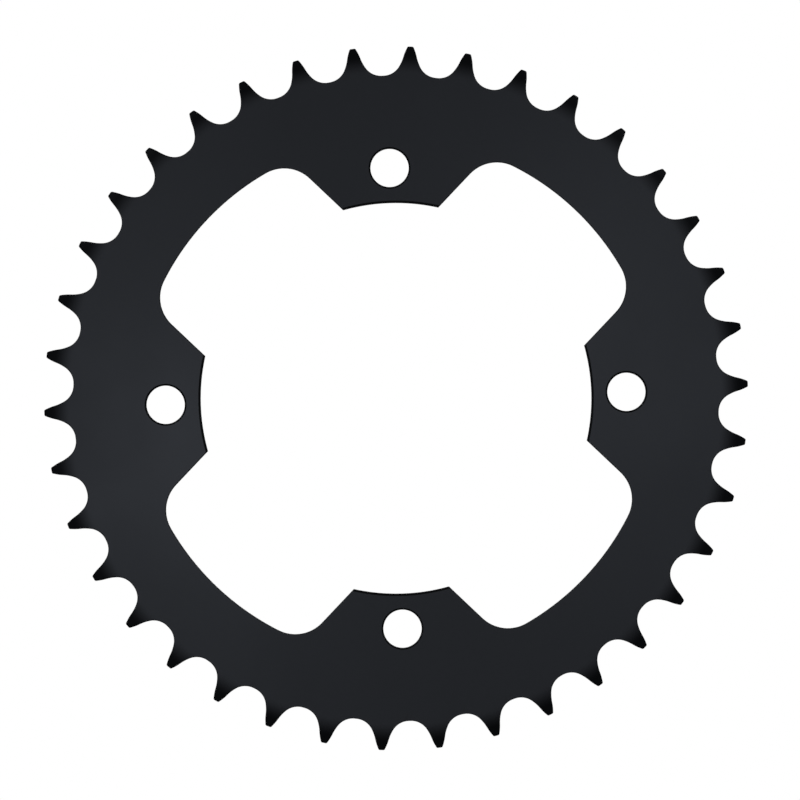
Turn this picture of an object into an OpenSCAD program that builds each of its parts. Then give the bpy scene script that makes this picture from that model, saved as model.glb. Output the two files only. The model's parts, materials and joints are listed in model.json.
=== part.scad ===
// Rear sprocket of a motorcycle: one steel plate with teeth for a roller chain, a wide open
// hub and four bolt lugs. It turns about Y, its outer face looks along -Y, and Z is up.
// The origin is on the axis, half way through the plate.

/* [Chain] */
// Number of teeth
tooth_count = 38; // [32:1:50]
// Pitch of the chain
chain_pitch = 15.875; // [15.2:0.005:19.1]
// Diameter of the chain's rollers
roller_d = 10.16; // [8.4:0.01:11]
// Gap between the chain's inner side plates
chain_inner_w = 6.35; // [5.2:0.05:9.6]
// Side play of the plate in the chain, both sides together
chain_side_play = 0.35; // [0.2:0.05:0.6]

/* [Teeth] */
// Turn of the tooth beside the first bolt, in degrees
tooth_turn = 0.77; // [0:0.01:9]
// Radius of a roller's seat over the roller's own
seat_clearance = 0.25; // [0.05:0.01:0.5]
// Flat across the bottom of a gap
seat_flat = 0.54; // [0:0.02:0.8]
// Turn of the seat on each side of a gap, in degrees
seat_turn = 56.3; // [50:0.1:60]
// Radius of the hollow flank above the seat
flank_r = 12; // [9:0.5:15]
// Turn of the hollow flank, in degrees
flank_turn = 14.9; // [8:0.1:20]
// Radius of the rounded crown above the flank
crown_r = 12.8; // [10:0.2:16]
// Turn of the crown, in degrees
crown_turn = 9.3; // [4:0.1:14]
// Height of the tips above the pitch circle
tip_height = 3.18; // [2.4:0.02:3.6]
// Radius of a tip's two corners
tip_corner_r = 0.5; // [0.2:0.1:0.6]
// Radius that rounds the sides of the teeth
side_r = 15.9; // [13:0.1:20]
// Depth of that rounding at the tips
side_relief = 1.9; // [1.2:0.1:2.2]

/* [Rim and windows] */
// Width of the rim between the windows and the bottoms of the gaps
rim_w = 17.7; // [12:0.1:22]
// Width of each window, between the sides of two lugs
window_w = 56.6; // [48:0.2:62]
// Radius of a window's outer corners
window_corner_r = 10.4; // [4:0.2:14]

/* [Hub] */
// Diameter of the spigot that centres the sprocket on the hub
spigot_d = 110; // [96:1:116]
// Gap round the spigot
spigot_clearance = 0.1; // [0.05:0.05:0.3]
// Chamfer on the lugs' ends, where the spigot goes in
register_chamfer = 0.65; // [0.2:0.05:1]
// Number of bolts
bolt_count = 4; // [4]
// Diameter of the bolt circle
bolt_circle_d = 130; // [126:1:140]
// Diameter of the bolts
bolt_d = 10; // [8:0.5:12]
// Gap round a bolt
bolt_clearance = 0.4; // [0.2:0.05:0.6]
// Chamfer on the bolt holes
bolt_chamfer = 0.5; // [0.2:0.05:1]

/* [Hidden] */

plate_t = chain_inner_w - chain_side_play;
tooth_angle = 360 / tooth_count;
pitch_r = chain_pitch / (2 * sin(tooth_angle / 2));
root_r = pitch_r - roller_d / 2;
tip_r = pitch_r + tip_height;
seat_r = roller_d / 2 + seat_clearance;
register_r = spigot_d / 2 + spigot_clearance;
bolt_hole_r = bolt_d / 2 + bolt_clearance;
window_reach_r = root_r - rim_w;

// How far a cut runs past the face it starts from
overcut = 1;
// Sides of a true circle, such as a hole
round_fn = 180;
// Segments of the short arcs
seat_steps = 6;
flank_steps = 2;
crown_steps = 2;
corner_steps = 3;
side_steps = 6;
window_corner_steps = 10;
window_arc_steps = 16;

// Directions, turns and mirror images of points
function toward(a) = [cos(a), sin(a)];
function turned(p, a) = [p.x * cos(a) - p.y * sin(a), p.x * sin(a) + p.y * cos(a)];
function mirrored(p) = [-p.x, p.y];

// Points on an arc about c, from angle a to angle b, with the first point left out
function arc(c, r, a, b, steps) = [for (i = [1:steps]) c + r * toward(a + (b - a) * i / steps)];

// One side of a gap, from the bottom to the tip, with the gap's middle on +Y. The seat and
// the flank are hollow, the crown is rounded, and a straight stretch meets the tip's corner.
flank_end_turn = seat_turn + flank_turn;
crown_end_turn = flank_end_turn - crown_turn;
seat_c = [seat_flat / 2, root_r + seat_r];
seat_end = seat_c + seat_r * toward(seat_turn - 90);
flank_c = seat_end + flank_r * toward(seat_turn + 90);
flank_end = flank_c + flank_r * toward(flank_end_turn - 90);
crown_c = flank_end + crown_r * toward(flank_end_turn - 90);
crown_end = crown_c + crown_r * toward(crown_end_turn + 90);
corner_start = crown_end + tip_corner_r * toward(crown_end_turn - 90);
corner_along = corner_start * toward(crown_end_turn);
corner_c = corner_start + toward(crown_end_turn) * (sqrt(corner_along ^ 2
    + (tip_r - tip_corner_r) ^ 2 - corner_start * corner_start) - corner_along);
gap_side = concat(
    [[seat_flat / 2, root_r]],
    arc(seat_c, seat_r, -90, seat_turn - 90, seat_steps),
    arc(flank_c, flank_r, seat_turn - 90, flank_end_turn - 90, flank_steps),
    arc(crown_c, crown_r, flank_end_turn + 90, crown_end_turn + 90, crown_steps),
    [corner_c + tip_corner_r * toward(crown_end_turn + 90)],
    arc(corner_c, tip_corner_r, crown_end_turn + 90, atan2(corner_c.y, corner_c.x), corner_steps)
);
last = len(gap_side) - 1;
gap = concat(
    [for (i = [last:-1:0]) mirrored(gap_side[i])],
    gap_side
);

// The whole toothed outline, clockwise. Local X points at the first bolt.
first_gap = tooth_turn - tooth_angle / 2 - 90;
tooth_outline = [
    for (i = [0:tooth_count - 1], p = gap) turned(p, first_gap - i * tooth_angle)
];

// Half of the plate's section, with the sides of the teeth rounded off on one face
side_run = sqrt(2 * side_r * side_relief - side_relief ^ 2);
side_start = tip_r - side_run;
side_turn = asin((side_run + overcut) / side_r);
face_edge = concat(
    [[0, plate_t / 2], [side_start, plate_t / 2]],
    arc([side_start, plate_t / 2 - side_r], side_r, 90, 90 - side_turn, side_steps)
);
face_last = len(face_edge) - 1;
section = concat(
    face_edge,
    [for (i = [face_last:-1:0]) [face_edge[i].x, -face_edge[i].y]]
);

// One window, from the middle of the plate out along local X
corner_side = window_w / 2 - window_corner_r;
corner_reach = window_reach_r - window_corner_r;
corner_angle = asin(corner_side / corner_reach);
corner_x = corner_reach * cos(corner_angle);
window_outline = concat(
    [[0, -window_w / 2], [corner_x, -window_w / 2]],
    arc([corner_x, -corner_side], window_corner_r, -90, -corner_angle, window_corner_steps),
    arc([0, 0], window_reach_r, -corner_angle, corner_angle, window_arc_steps),
    arc([corner_x, corner_side], window_corner_r, corner_angle, 90, window_corner_steps),
    [[0, window_w / 2]]
);

// A round hole through the plate with a chamfer on both faces
module chamfered_hole(r, chamfer) {
    cylinder(h = plate_t + 2 * overcut, r = r, center = true, $fn = round_fn);
    for (side = [0, 1]) mirror([0, 0, side])
        translate([0, 0, plate_t / 2 - chamfer])
            cylinder(h = chamfer + overcut, r1 = r, r2 = r + chamfer + overcut, $fn = round_fn);
}

// The disc with its teeth, their sides rounded
module toothed_blank() {
    intersection() {
        linear_extrude(height = plate_t + 2 * overcut, center = true) polygon(tooth_outline);
        rotate_extrude($fn = round_fn) polygon(section);
    }
}

module windows() {
    for (i = [0:bolt_count - 1]) rotate([0, 0, (i + 0.5) * 360 / bolt_count])
        linear_extrude(height = plate_t + 2 * overcut, center = true) polygon(window_outline);
}

module bolt_holes() {
    for (i = [0:bolt_count - 1]) rotate([0, 0, i * 360 / bolt_count])
        translate([bolt_circle_d / 2, 0, 0]) chamfered_hole(bolt_hole_r, bolt_chamfer);
}

module sprocket_plate() {
    color([0.16, 0.165, 0.17]) rotate([90, 0, 0]) difference() {
        toothed_blank();
        chamfered_hole(register_r, register_chamfer);
        windows();
        bolt_holes();
    }
}

sprocket_plate();
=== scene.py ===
# Rear sprocket of a motorcycle, with the finish of a new part: thin satin black over machined steel.
import json
from math import asin, atan2, ceil, cos, degrees, pi, radians, sin, sqrt

import bmesh
import bpy
from mathutils import Matrix, Vector, geometry


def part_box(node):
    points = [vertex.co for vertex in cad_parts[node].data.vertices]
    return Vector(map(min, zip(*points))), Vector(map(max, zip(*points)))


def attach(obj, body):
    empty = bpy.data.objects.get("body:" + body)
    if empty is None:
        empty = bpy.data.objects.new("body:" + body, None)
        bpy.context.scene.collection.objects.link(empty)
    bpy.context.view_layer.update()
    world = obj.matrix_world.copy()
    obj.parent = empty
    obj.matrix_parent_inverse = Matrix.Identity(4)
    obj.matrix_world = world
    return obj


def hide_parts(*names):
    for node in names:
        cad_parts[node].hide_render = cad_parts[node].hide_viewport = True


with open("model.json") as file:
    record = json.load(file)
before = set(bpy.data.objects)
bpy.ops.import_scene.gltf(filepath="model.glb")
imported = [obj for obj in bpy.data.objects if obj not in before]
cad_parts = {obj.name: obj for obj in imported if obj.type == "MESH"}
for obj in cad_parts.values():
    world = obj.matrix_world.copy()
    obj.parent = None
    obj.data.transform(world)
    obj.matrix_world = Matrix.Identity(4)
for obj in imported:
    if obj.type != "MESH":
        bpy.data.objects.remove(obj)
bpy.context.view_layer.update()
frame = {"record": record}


# ---- The plate ----
# One disc of medium-carbon steel, ground flat on both faces, with its middle, windows and bolt holes cut
# through. The teeth are hobbed, their tips are hardened, and their sides are turned to a radius so that
# the chain's side plates run on easily. Then the whole plate is given a thin satin black coat.
MM = 0.001
OUTER, BACK = -1, 1
STEEL_INSIDE, STEEL_AROUND = 1, -1
mounts = {mount["name"]: mount for mount in frame["record"]["mounts"]}
bolts = mounts["hub_bolts"]["dims"]
register = mounts["hub_register"]["dims"]
plate_low, plate_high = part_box("sprocket_plate")

# Sizes in millimetres. The teeth are for a chain of 15.875 pitch with rollers of 10.16.
half_t = (plate_high.y - plate_low.y) / 2 / MM
tooth_count = 38
chain_pitch = 15.875
roller_r = 10.16 / 2
tip_rise = 3.18
tooth_angle = 2 * pi / tooth_count
tooth_turn = radians(0.77)
pitch_r = chain_pitch / (2 * sin(tooth_angle / 2))
root_r = pitch_r - roller_r
tip_r = pitch_r + tip_rise
side_r = 15.9
tip_relief = 1.9
side_start = tip_r - sqrt(2 * side_r * tip_relief - tip_relief ** 2)
edge_r = 0.3
chamfer_edge_r = 0.12
hole_chamfer = 0.5
register_chamfer = half_t - register["length_mm"] / 2


def toward(angle):
    return Vector((cos(angle), sin(angle)))


def turned(point, angle):
    return Matrix.Rotation(angle, 2) @ point


def mirrored(point):
    return Vector((-point.x, point.y))


def arc(centre, radius, start, end, steps):
    """Points on an arc in degrees, with the first one left out."""
    return [
        centre + radius * toward(radians(start + (end - start) * i / steps))
        for i in range(1, steps + 1)
    ]


def gap_side_points():
    """One side of the gap between two teeth, from its bottom out to the tip, with its middle on +Y."""
    half_flat = 0.27
    roller_play = 0.25
    seat_r, seat_turn = roller_r + roller_play, 56.3
    flank_r, flank_end_turn = 12.0, 71.2
    crown_r, crown_end_turn = 12.8, 61.9
    corner_r = 0.5
    bottom = Vector((half_flat, root_r))
    seat_c = bottom + Vector((0, seat_r))
    points = [bottom] + arc(seat_c, seat_r, -90, seat_turn - 90, steps=14)
    flank_c = points[-1] + flank_r * toward(radians(seat_turn + 90))
    points += arc(flank_c, flank_r, seat_turn - 90, flank_end_turn - 90, steps=5)
    crown_c = points[-1] + crown_r * toward(radians(flank_end_turn - 90))
    points += arc(crown_c, crown_r, flank_end_turn + 90, crown_end_turn + 90, steps=4)

    # a straight run from the crown to the broken corner, which ends on the tip circle
    rise = toward(radians(crown_end_turn))
    start = points[-1] + corner_r * toward(radians(crown_end_turn - 90))
    along = start.dot(rise)
    corner_c = start + rise * (sqrt(along ** 2 + (tip_r - corner_r) ** 2 - start.dot(start)) - along)
    foot = corner_c + corner_r * toward(radians(crown_end_turn + 90))
    points += [(points[-1] + foot) / 2, foot]
    top = degrees(atan2(corner_c.y, corner_c.x))
    return points + arc(corner_c, corner_r, crown_end_turn + 90, top, steps=5)


gap_side = gap_side_points()
side_count = len(gap_side)
land_steps = 3
gap_count = 2 * side_count + land_steps


def rim_outline():
    """The toothed outline, anticlockwise: each gap between two teeth, then the land of the next tip."""
    outline = []
    whole_gap = gap_side[::-1] + [mirrored(p) for p in gap_side]
    for i in range(tooth_count):
        middle = tooth_turn - tooth_angle / 2 + i * tooth_angle
        outline += [turned(p, middle - pi / 2) for p in whole_gap]
        start = atan2(outline[-1].y, outline[-1].x)
        half_land = (middle + tooth_angle / 2 - start + pi) % (2 * pi) - pi
        outline += [
            tip_r * toward(start + 2 * half_land * k / (land_steps + 1))
            for k in range(1, land_steps + 1)
        ]
    return outline


def hub_outline():
    """The inner outline, anticlockwise: the end of each lug, then the window after it. It comes with the
    kind of each stretch that follows a point: the end of a lug or the side of a window."""
    register_r = register["r_mm"]
    window_half_w, window_corner_r = 56.6 / 2, 10.4
    rim_w = 17.7
    window_r = root_r - rim_w
    corner_side = window_half_w - window_corner_r
    corner_turn = degrees(asin(corner_side / (window_r - window_corner_r)))
    corner_x = (window_r - window_corner_r) * cos(radians(corner_turn))
    lug_turn = 180 / bolts["count"] - degrees(asin(window_half_w / register_r))
    side_x = register_r * cos(radians(180 / bolts["count"] - lug_turn))
    side_steps = 10
    points, kinds = [], []
    for i in range(bolts["count"]):
        lug = radians(360 / bolts["count"] * i)
        end_arc = arc(Vector((0, 0)), register_r, -lug_turn, lug_turn, steps=20)
        points += [turned(p, lug) for p in end_arc[:-1]]
        kinds += ["end"] * (len(end_arc) - 1)
        near_foot = Vector((side_x, -window_half_w))
        near_top = Vector((corner_x, -window_half_w))
        window = [near_foot.lerp(near_top, k / side_steps) for k in range(side_steps + 1)]
        near_corner = Vector((corner_x, -corner_side))
        window += arc(near_corner, window_corner_r, -90, -corner_turn, steps=16)
        window += arc(Vector((0, 0)), window_r, -corner_turn, corner_turn, steps=48)
        far_corner = Vector((corner_x, corner_side))
        window += arc(far_corner, window_corner_r, corner_turn, 90, steps=16)
        far_top, far_foot = window[-1], Vector((side_x, window_half_w))
        window += [far_top.lerp(far_foot, k / side_steps) for k in range(1, side_steps + 1)]
        points += [turned(p, lug + pi / bolts["count"]) for p in window]
        kinds += ["side"] * (len(window) - 1) + ["end"]
    return points, kinds


def side_depth(radius):
    """How far the turned side of a tooth lies below the plate's face."""
    run = max(radius - side_start, 0.0)
    return side_r - sqrt(side_r ** 2 - run ** 2)


def broken(drop):
    """How far a broken edge stands back from the wall, at a depth below the face."""
    left = max(edge_r - drop, 0.0)
    return edge_r - sqrt(edge_r ** 2 - left ** 2)


def chamfered(chamfer, drop):
    """How far a 45 degree chamfer with softened edges stands back from the wall, at a depth."""
    slack = chamfer_edge_r * (sqrt(2) - 1)
    near = chamfer_edge_r * (1 - sqrt(0.5))
    if drop >= chamfer + slack:
        return 0.0
    if drop > chamfer - near:
        return chamfer_edge_r - sqrt(chamfer_edge_r ** 2 - (chamfer + slack - drop) ** 2)
    if drop >= near:
        return chamfer - drop
    return chamfer + slack - sqrt(chamfer_edge_r ** 2 - (chamfer_edge_r - drop) ** 2)


def chamfer_drops(chamfer):
    """The depths at which a chamfer is cut into rows, from the wall up to the face."""
    slack = chamfer_edge_r * (sqrt(2) - 1)
    lower = [chamfer + slack - chamfer_edge_r * sin(radians(a)) for a in (0, 15, 30, 45)]
    upper = [chamfer_edge_r - chamfer_edge_r * sin(radians(a)) for a in (45, 60, 75, 90)]
    return lower + upper


def moved_in(points, insets, outward):
    """A closed outline moved into the steel: each stretch after a point by its own inset. outward is
    STEEL_INSIDE where the outline runs round the steel, and STEEL_AROUND where the steel runs round it."""
    same_inset = 1e-9
    count = len(points)
    moved = []
    for i in range(count):
        here = points[i]
        before = (here - points[i - 1]).normalized()
        after = (points[(i + 1) % count] - here).normalized()
        normal_a = Vector((-before.y, before.x)) * outward
        normal_b = Vector((-after.y, after.x)) * outward
        inset_a, inset_b = insets[i - 1], insets[i]
        if abs(inset_a - inset_b) < same_inset:
            normal = (normal_a + normal_b).normalized()
            moved.append(here + normal * inset_a / normal.dot(normal_a))
        else:
            corner = Matrix((normal_a, normal_b)).inverted()
            moved.append(here + corner @ Vector((inset_a, inset_b)))
    return moved


steel = bmesh.new()


def vertex(point, side, drop):
    depth = half_t - drop - side_depth(point.length)
    return steel.verts.new(Vector((point.x, side * depth, point.y)) * MM)


def face(corners, side):
    steel.faces.new(corners if side == OUTER else corners[::-1])


def strip(loop_a, loop_b, side):
    """Four-sided faces between two closed loops; loop_a is on the left of loop_b's way round."""
    for i in range(len(loop_a)):
        face((loop_a[i - 1], loop_b[i - 1], loop_b[i], loop_a[i]), side)


def cut_edge(points, insets_at, drops, outward):
    """The wall along an outline and the edges on both sides of it. For each side it gives back the border
    of the face, as pairs of a vertex and its point."""
    walls, borders = {}, {}
    for side in (OUTER, BACK):
        last = None
        for drop in drops:
            moved = moved_in(points, insets_at(drop), outward)
            loop = [vertex(p, side, drop) for p in moved]
            if last is None:
                walls[side] = loop
            else:
                strip(loop, last, side * outward)
            last = loop
        borders[side] = list(zip(last, moved))
    strip(walls[OUTER], walls[BACK], -outward)
    return borders


# the rim with its teeth
rim_points = rim_outline()
edge_drops = [edge_r - edge_r * sin(radians(a)) for a in (0, 22.5, 45, 67.5, 90)]
rim = cut_edge(rim_points, lambda drop: [broken(drop)] * len(rim_points), edge_drops, STEEL_INSIDE)

# the windows, and between them the lugs, whose ends fit round the hub
hub_points, hub_kinds = hub_outline()
hub_drops = sorted(set(edge_drops + chamfer_drops(register_chamfer)), reverse=True)


def hub_insets(drop):
    of_kind = {"end": chamfered(register_chamfer, drop), "side": broken(drop)}
    return [of_kind[kind] for kind in hub_kinds]


hub = cut_edge(hub_points, hub_insets, hub_drops, STEEL_AROUND)

# the bolt holes, one through each lug
hole_steps = 64
holes = []
for number in range(bolts["count"]):
    hole_centre = bolts["pcd_mm"] / 2 * toward(2 * pi / bolts["count"] * number)
    hole_points = arc(hole_centre, bolts["hole_r_mm"], 0, 360, hole_steps)
    holes.append(
        cut_edge(
            hole_points,
            lambda drop: [chamfered(hole_chamfer, drop)] * hole_steps,
            chamfer_drops(hole_chamfer),
            STEEL_AROUND,
        )
    )


def turned_teeth(side):
    """The turned side of each tooth, from the flat of the plate out to its tip. It gives back the border of
    the flat, as pairs of a vertex and its point."""
    top = rim[side]
    first = 0
    while top[side_count + first + 1][1].length <= side_start:
        first += 1
    border = []
    for i in range(tooth_count):
        start = i * gap_count
        following = (i + 1) % tooth_count * gap_count
        rows = []
        for j in range(first, side_count):
            left = start + side_count + j
            right = following + side_count - 1 - j
            row = [top[left]]
            if j == side_count - 1:
                row += top[left + 1:left + 1 + land_steps]
            else:
                turn = -top[left][1].angle_signed(top[right][1])
                for k in range(1, land_steps + 1):
                    point = turned(top[left][1], turn * k / (land_steps + 1))
                    row.append((vertex(point, side, 0), point))
            row.append(top[right])
            rows.append(row)
        for below, above in zip(rows, rows[1:]):
            for k in range(land_steps + 1):
                face((below[k][0], below[k + 1][0], above[k + 1][0], above[k][0]), -side)
        border += top[start + side_count - first - 1:start + side_count + first]
        border += rows[0][:-1]
    return border


def ground_flat(side, borders):
    """The flat of a face, between the teeth, the hub and the bolt holes, in triangles of an even size."""
    spacing = 4.0
    row_ratio = 0.87
    border_gap = 1.8
    rim_gap = 1.5
    leave_holes = 2
    merge_within = 1e-5
    spots, owners, loops = [], [], []
    for border in borders:
        loops.append(list(range(len(spots), len(spots) + len(border))))
        spots += [point for _, point in border]
        owners += [corner for corner, _ in border]
    border_spots = spots[:]
    ring_r = register["r_mm"] + spacing / 2
    ring_number = 0
    while ring_r < root_r - rim_gap:
        around = ceil(2 * pi * ring_r / spacing)
        for k in range(around):
            spot = ring_r * toward(2 * pi * (k + ring_number % 2 / 2) / around)
            if min((spot - other).length for other in border_spots) > border_gap:
                spots.append(spot)
                owners.append(None)
        ring_r += spacing * row_ratio
        ring_number += 1
    cut = geometry.delaunay_2d_cdt(spots, [], loops, leave_holes, merge_within)
    triangles, sources = cut[2:4]
    for triangle in triangles:
        corners = []
        for k in triangle:
            source = sources[k][0]
            if owners[source] is None:
                owners[source] = vertex(spots[source], side, 0)
            corners.append(owners[source])
        face(corners, side)


for plate_side in (OUTER, BACK):
    flat_border = turned_teeth(plate_side)
    ground_flat(plate_side, [flat_border, hub[plate_side]] + [hole[plate_side] for hole in holes])

for plate_face in steel.faces:
    plate_face.smooth = True
plate_data = bpy.data.meshes.new("sprocket_plate_finish")
steel.to_mesh(plate_data)
steel.free()
plate = bpy.data.objects.new("sprocket_plate_finish", plate_data)
bpy.context.scene.collection.objects.link(plate)
smooth = plate.modifiers.new("flat faces stay flat", "WEIGHTED_NORMAL")
smooth.mode = "FACE_AREA"
smooth.weight = 100


def add(tree, kind, **settings):
    made = tree.nodes.new(kind)
    for name, value in settings.items():
        setattr(made, name, value)
    return made


def join(tree, source, target):
    tree.links.new(source, target)


def maths(tree, operation, a, b=None):
    made = add(tree, "ShaderNodeMath", operation=operation)
    for socket, value in zip(made.inputs, (a, b)):
        if isinstance(value, float):
            socket.default_value = value
        elif value is not None:
            join(tree, value, socket)
    return made.outputs[0]


def between(tree, value, low, high, at_low, at_high, interpolation="LINEAR"):
    """Runs from at_low to at_high while the value goes from low to high."""
    made = add(tree, "ShaderNodeMapRange", interpolation_type=interpolation)
    join(tree, value, made.inputs["Value"])
    made.inputs["From Min"].default_value = low
    made.inputs["From Max"].default_value = high
    made.inputs["To Min"].default_value = at_low
    made.inputs["To Max"].default_value = at_high
    return made.outputs["Result"]


def noise(tree, scale, detail, rough, vector=None, w=None):
    made = add(tree, "ShaderNodeTexNoise", noise_dimensions="1D" if vector is None else "3D")
    made.inputs["Scale"].default_value = scale
    made.inputs["Detail"].default_value = detail
    made.inputs["Roughness"].default_value = rough
    if vector is None:
        join(tree, w, made.inputs["W"])
    else:
        join(tree, vector, made.inputs["Vector"])
    return made.outputs["Fac"]


def black_steel():
    """Thin satin black over machined steel: faces with grinding marks that run round the axis, walls with
    the cutter's marks across the plate, and painted shade that darkens the tooth tips and the chamfers."""
    material = bpy.data.materials.new("satin_black_steel")
    material.use_nodes = True
    tree = material.node_tree
    tree.nodes.clear()

    # where on the plate: the distance from the axis, and flat face, wall or chamfer. Lengths in metres.
    wall_full, wall_gone = 0.2, 0.45
    face_none, face_full = 0.72, 0.92
    # the teeth are painted darker towards their tips: painted shade where their turned sides face away from
    # the light
    tip_shade_from, tip_shade_full = 0.0915, 0.097
    tip_shade_tone = 0.22
    place = add(tree, "ShaderNodeTexCoord").outputs["Object"]
    split = add(tree, "ShaderNodeSeparateXYZ")
    join(tree, place, split.inputs[0])
    x, y, z = split.outputs
    radius_squared = maths(tree, "ADD", maths(tree, "MULTIPLY", x, x), maths(tree, "MULTIPLY", z, z))
    radius = maths(tree, "SQRT", radius_squared)
    facing = add(tree, "ShaderNodeSeparateXYZ")
    join(tree, add(tree, "ShaderNodeNewGeometry").outputs["Normal"], facing.inputs[0])
    squareness = maths(tree, "ABSOLUTE", facing.outputs["Y"])
    on_face = between(tree, squareness, face_none, face_full, 0.0, 1.0, "SMOOTHSTEP")
    on_wall = between(tree, squareness, wall_full, wall_gone, 1.0, 0.0, "SMOOTHSTEP")
    # painted shade: the colour and the gloss fall towards the tooth tips
    tip_shade = between(tree, radius, tip_shade_from, tip_shade_full, 1.0, tip_shade_tone, "SMOOTHSTEP")

    # the marks of the grinding wheel on the faces, and of the cutter on the walls
    ring_marks, ring_patches = 2600.0, 90.0
    cutter_marks, cutter_length = 2200.0, 60.0
    grain_size = 3800.0
    ring_height, cutter_height, grain_height = 0.9, 1.6, 0.55
    rings = noise(tree, 1.0, 3.0, 0.65, w=maths(tree, "MULTIPLY", radius, ring_marks))
    patches = noise(tree, ring_patches, 2.0, 0.5, place)
    patchy = maths(tree, "ADD", maths(tree, "MULTIPLY", patches, 0.8), 0.3)
    rings = maths(tree, "MULTIPLY", rings, patchy)
    across = add(tree, "ShaderNodeCombineXYZ")
    join(tree, maths(tree, "MULTIPLY", x, cutter_marks), across.inputs["X"])
    join(tree, maths(tree, "MULTIPLY", y, cutter_length), across.inputs["Y"])
    join(tree, maths(tree, "MULTIPLY", z, cutter_marks), across.inputs["Z"])
    cutter = noise(tree, 1.0, 2.0, 0.6, across.outputs[0])
    grain = noise(tree, grain_size, 2.0, 0.6, place)
    off_face = maths(tree, "SUBTRACT", 1.0, on_face)
    ring_part = maths(tree, "MULTIPLY", rings, maths(tree, "MULTIPLY", on_face, ring_height))
    cutter_part = maths(tree, "MULTIPLY", cutter, maths(tree, "MULTIPLY", off_face, cutter_height))
    height = maths(tree, "ADD", ring_part, cutter_part)
    height = maths(tree, "ADD", height, maths(tree, "MULTIPLY", grain, grain_height))
    bump = add(tree, "ShaderNodeBump")
    bump.inputs["Strength"].default_value = 0.35
    bump.inputs["Distance"].default_value = 0.000004
    join(tree, height, bump.inputs["Height"])

    # the coat's colour: even and a little cloudy, with painted shade that darkens the chamfers, the rounded
    # edges and the tooth tips
    cloud_size = 26.0
    chamfer_shade_tone, wall_tone = 0.12, 2.0
    cloud = noise(tree, cloud_size, 3.0, 0.55, place)
    # painted shade: the chamfers and rounded edges get a small share of the colour, and the walls are
    # brought back to full colour
    painted_chamfer_shade = between(tree, on_face, 0.0, 1.0, chamfer_shade_tone, 1.0)
    edge_shade = maths(tree, "ADD", painted_chamfer_shade, maths(tree, "MULTIPLY", on_wall, wall_tone))
    # the cloud and the grain are the coat's own uneven tone; the tip and edge factors are painted shade
    tone_and_shade = maths(tree, "MULTIPLY", between(tree, cloud, 0.3, 0.7, 0.92, 1.08), tip_shade)
    tone_and_shade = maths(tree, "MULTIPLY", tone_and_shade, edge_shade)
    tone_and_shade = maths(tree, "MULTIPLY", tone_and_shade, between(tree, grain, 0.3, 0.7, 0.9, 1.1))
    colour = add(tree, "ShaderNodeMix", data_type="RGBA")
    colour.inputs["A"].default_value = (0, 0, 0, 1)
    colour.inputs["B"].default_value = (0.0015, 0.0016, 0.0019, 1)
    join(tree, tone_and_shade, colour.inputs["Factor"])

    # the coat's gloss: it weakens as the colour does, and the face is a little rougher towards the rim
    face_shine = 0.155
    chamfer_share, wall_share = 0.03 / face_shine, 0.12 / face_shine
    rim_from, rim_full = 0.060, 0.092
    tip_from, tip_full = 0.0935, 0.0975
    share = between(tree, on_face, 0.0, 1.0, chamfer_share, 1.0)
    share = maths(tree, "ADD", share, maths(tree, "MULTIPLY", on_wall, wall_share))
    share = maths(tree, "MULTIPLY", share, tip_shade)
    shine = maths(tree, "MULTIPLY", share, face_shine)
    cloud_rough = between(tree, cloud, 0.3, 0.7, 0.40, 0.44)
    rough = maths(tree, "ADD", cloud_rough, between(tree, on_face, 0.0, 1.0, 0.06, 0.0))
    rough = maths(tree, "ADD", rough, between(tree, radius, rim_from, rim_full, 0.0, 0.035))
    tip_smooth = between(tree, radius, tip_from, tip_full, 0.0, 0.1, "SMOOTHSTEP")
    rough = maths(tree, "SUBTRACT", rough, tip_smooth)
    around = add(tree, "ShaderNodeTangent", direction_type="RADIAL", axis="Y").outputs[0]

    surface = add(tree, "ShaderNodeBsdfPrincipled")
    surface.inputs["Specular Tint"].default_value = (0.79, 0.86, 1.0, 1)
    surface.inputs["Anisotropic"].default_value = 0.72
    surface.inputs["Anisotropic Rotation"].default_value = 0.25
    join(tree, colour.outputs["Result"], surface.inputs["Base Color"])
    join(tree, shine, surface.inputs["Specular IOR Level"])
    join(tree, rough, surface.inputs["Roughness"])
    join(tree, bump.outputs["Normal"], surface.inputs["Normal"])
    join(tree, around, surface.inputs["Tangent"])
    output = add(tree, "ShaderNodeOutputMaterial")
    join(tree, surface.outputs[0], output.inputs["Surface"])
    return material


plate.data.materials.append(black_steel())
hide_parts("sprocket_plate")
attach(plate, "root")


# ---- The studio ----
# A matt white floor below the part and a white room round it. Two soft boxes stand near the line of sight,
# one on each side, and make the grinding marks shine to the left and right; the other lamps are large and
# far, and light the room. Lengths here are in metres.
def white_floor():
    """Matt white that thins out to nothing away from the part."""
    whole_within, gone_from = 0.15, 0.9
    material = bpy.data.materials.new("white_floor")
    material.use_nodes = True
    tree = material.node_tree
    tree.nodes.clear()
    away = add(tree, "ShaderNodeVectorMath", operation="LENGTH")
    join(tree, add(tree, "ShaderNodeTexCoord").outputs["Object"], away.inputs[0])
    thin = between(tree, away.outputs["Value"], whole_within, gone_from, 0.0, 1.0, "SMOOTHSTEP")
    matt = add(tree, "ShaderNodeBsdfDiffuse")
    matt.inputs["Color"].default_value = (0.92, 0.92, 0.92, 1)
    clear = add(tree, "ShaderNodeBsdfTransparent")
    both = add(tree, "ShaderNodeMixShader")
    join(tree, thin, both.inputs["Fac"])
    join(tree, matt.outputs[0], both.inputs[1])
    join(tree, clear.outputs[0], both.inputs[2])
    output = add(tree, "ShaderNodeOutputMaterial")
    join(tree, both.outputs[0], output.inputs["Surface"])
    return material


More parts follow.
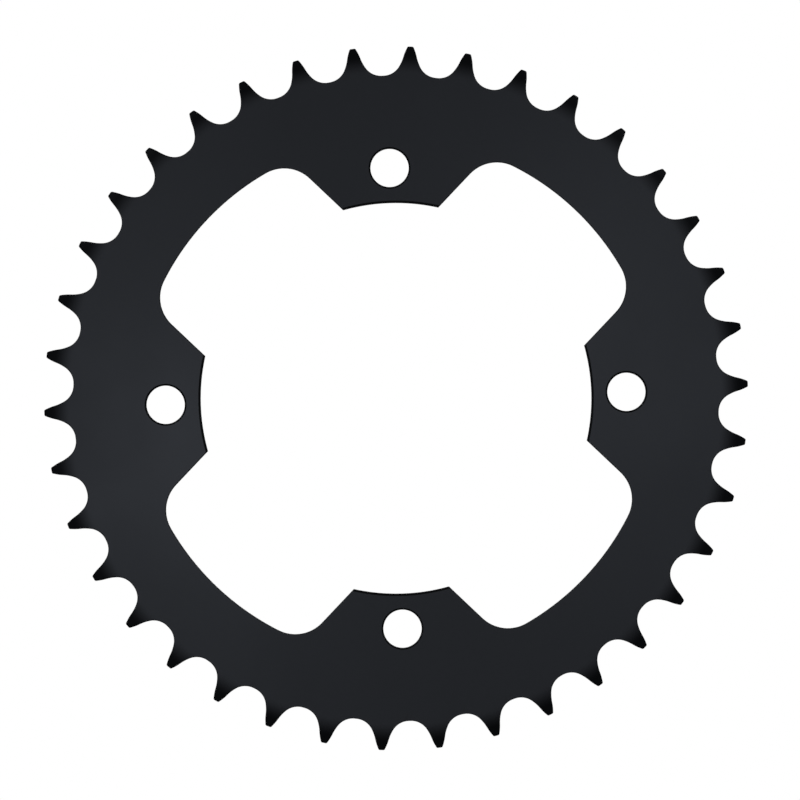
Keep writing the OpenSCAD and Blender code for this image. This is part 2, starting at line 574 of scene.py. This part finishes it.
floor_z = plate_low.z - 0.065
floor_half = 0.95
floor_corners = [(-1, -1), (1, -1), (1, 1), (-1, 1)]
floor_data = bpy.data.meshes.new("floor")
floor_data.from_pydata(
    [(floor_half * x_side, floor_half * y_side, floor_z) for x_side, y_side in floor_corners],
    [],
    [(0, 1, 2, 3)],
)
floor_data.materials.append(white_floor())
floor = bpy.data.objects.new("floor", floor_data)
bpy.context.scene.collection.objects.link(floor)

# The eye, the gloss and anything clear see plain white; the room itself sends only a little light.
room_light = 0.2
world = bpy.data.worlds.new("white_room")
world.use_nodes = True
bpy.context.scene.world = world
room = world.node_tree
room.nodes.clear()
path = add(room, "ShaderNodeLightPath").outputs
seen = maths(room, "ADD", path["Is Camera Ray"], path["Is Transmission Ray"])
seen = maths(room, "ADD", seen, path["Is Glossy Ray"])
lit = maths(room, "MULTIPLY", path["Is Diffuse Ray"], room_light)
background = add(room, "ShaderNodeBackground")
background.inputs["Color"].default_value = (1, 1, 1, 1)
join(room, maths(room, "ADD", seen, lit), background.inputs["Strength"])
room_output = add(room, "ShaderNodeOutputWorld")
join(room, background.outputs[0], room_output.inputs["Surface"])


def soft_lamp(name, azimuth, elevation, distance, width, height, glow):
    """A lamp that faces the part. Azimuth 0 is in front and positive to the right; glow is its brightness,
    where 1 is as bright as white paper in full light."""
    data = bpy.data.lights.new(name, "AREA")
    data.shape = "RECTANGLE"
    data.size = width
    data.size_y = height
    data.energy = glow * pi * width * height
    lamp = bpy.data.objects.new(name, data)
    a, e = radians(azimuth), radians(elevation)
    away = Vector((sin(a) * cos(e), -cos(a) * cos(e), sin(e)))
    facing = away.to_track_quat("Z", "Y").to_matrix().to_4x4()
    lamp.matrix_world = Matrix.Translation(away * distance) @ facing
    lamp.visible_camera = False
    bpy.context.scene.collection.objects.link(lamp)


soft_lamp("left_box", azimuth=-13, elevation=-2.5, distance=0.7, width=0.22, height=0.12, glow=12.6)
soft_lamp("right_box", azimuth=12.7, elevation=1.5, distance=0.7, width=0.14, height=0.11, glow=6.5)
for angle in (-90, 90):
    name = f"upper_lamp_{angle % 360}"
    soft_lamp(name, azimuth=angle, elevation=55, distance=1.8, width=0.7, height=0.7, glow=4)
soft_lamp("back_box", azimuth=175, elevation=3, distance=1.2, width=0.5, height=0.3, glow=2)
for angle in (-60, 60, -120, 120):
    name = f"corner_lamp_{angle % 360}"
    soft_lamp(name, azimuth=angle, elevation=35, distance=2.5, width=0.9, height=0.9, glow=4.2)

# The camera looks straight at the outer face from far off, and leans a little to one side.
camera_distance = 5.0
camera_right, camera_up = 0.0011, -0.0005
camera_lean = radians(-1.61)
field_width = 0.22567
sensor_width = 36
camera_data = bpy.data.cameras.new("camera")
camera_data.sensor_width = sensor_width
camera_data.lens = sensor_width * camera_distance / field_width
camera = bpy.data.objects.new("camera", camera_data)
camera.matrix_world = (
    Matrix.Translation((camera_right, -camera_distance, camera_up))
    @ Matrix.Rotation(radians(90), 4, "X")
    @ Matrix.Rotation(camera_lean, 4, "Z")
)
bpy.context.scene.collection.objects.link(camera)
bpy.context.scene.camera = camera
bpy.context.scene.view_settings.view_transform = "Standard"
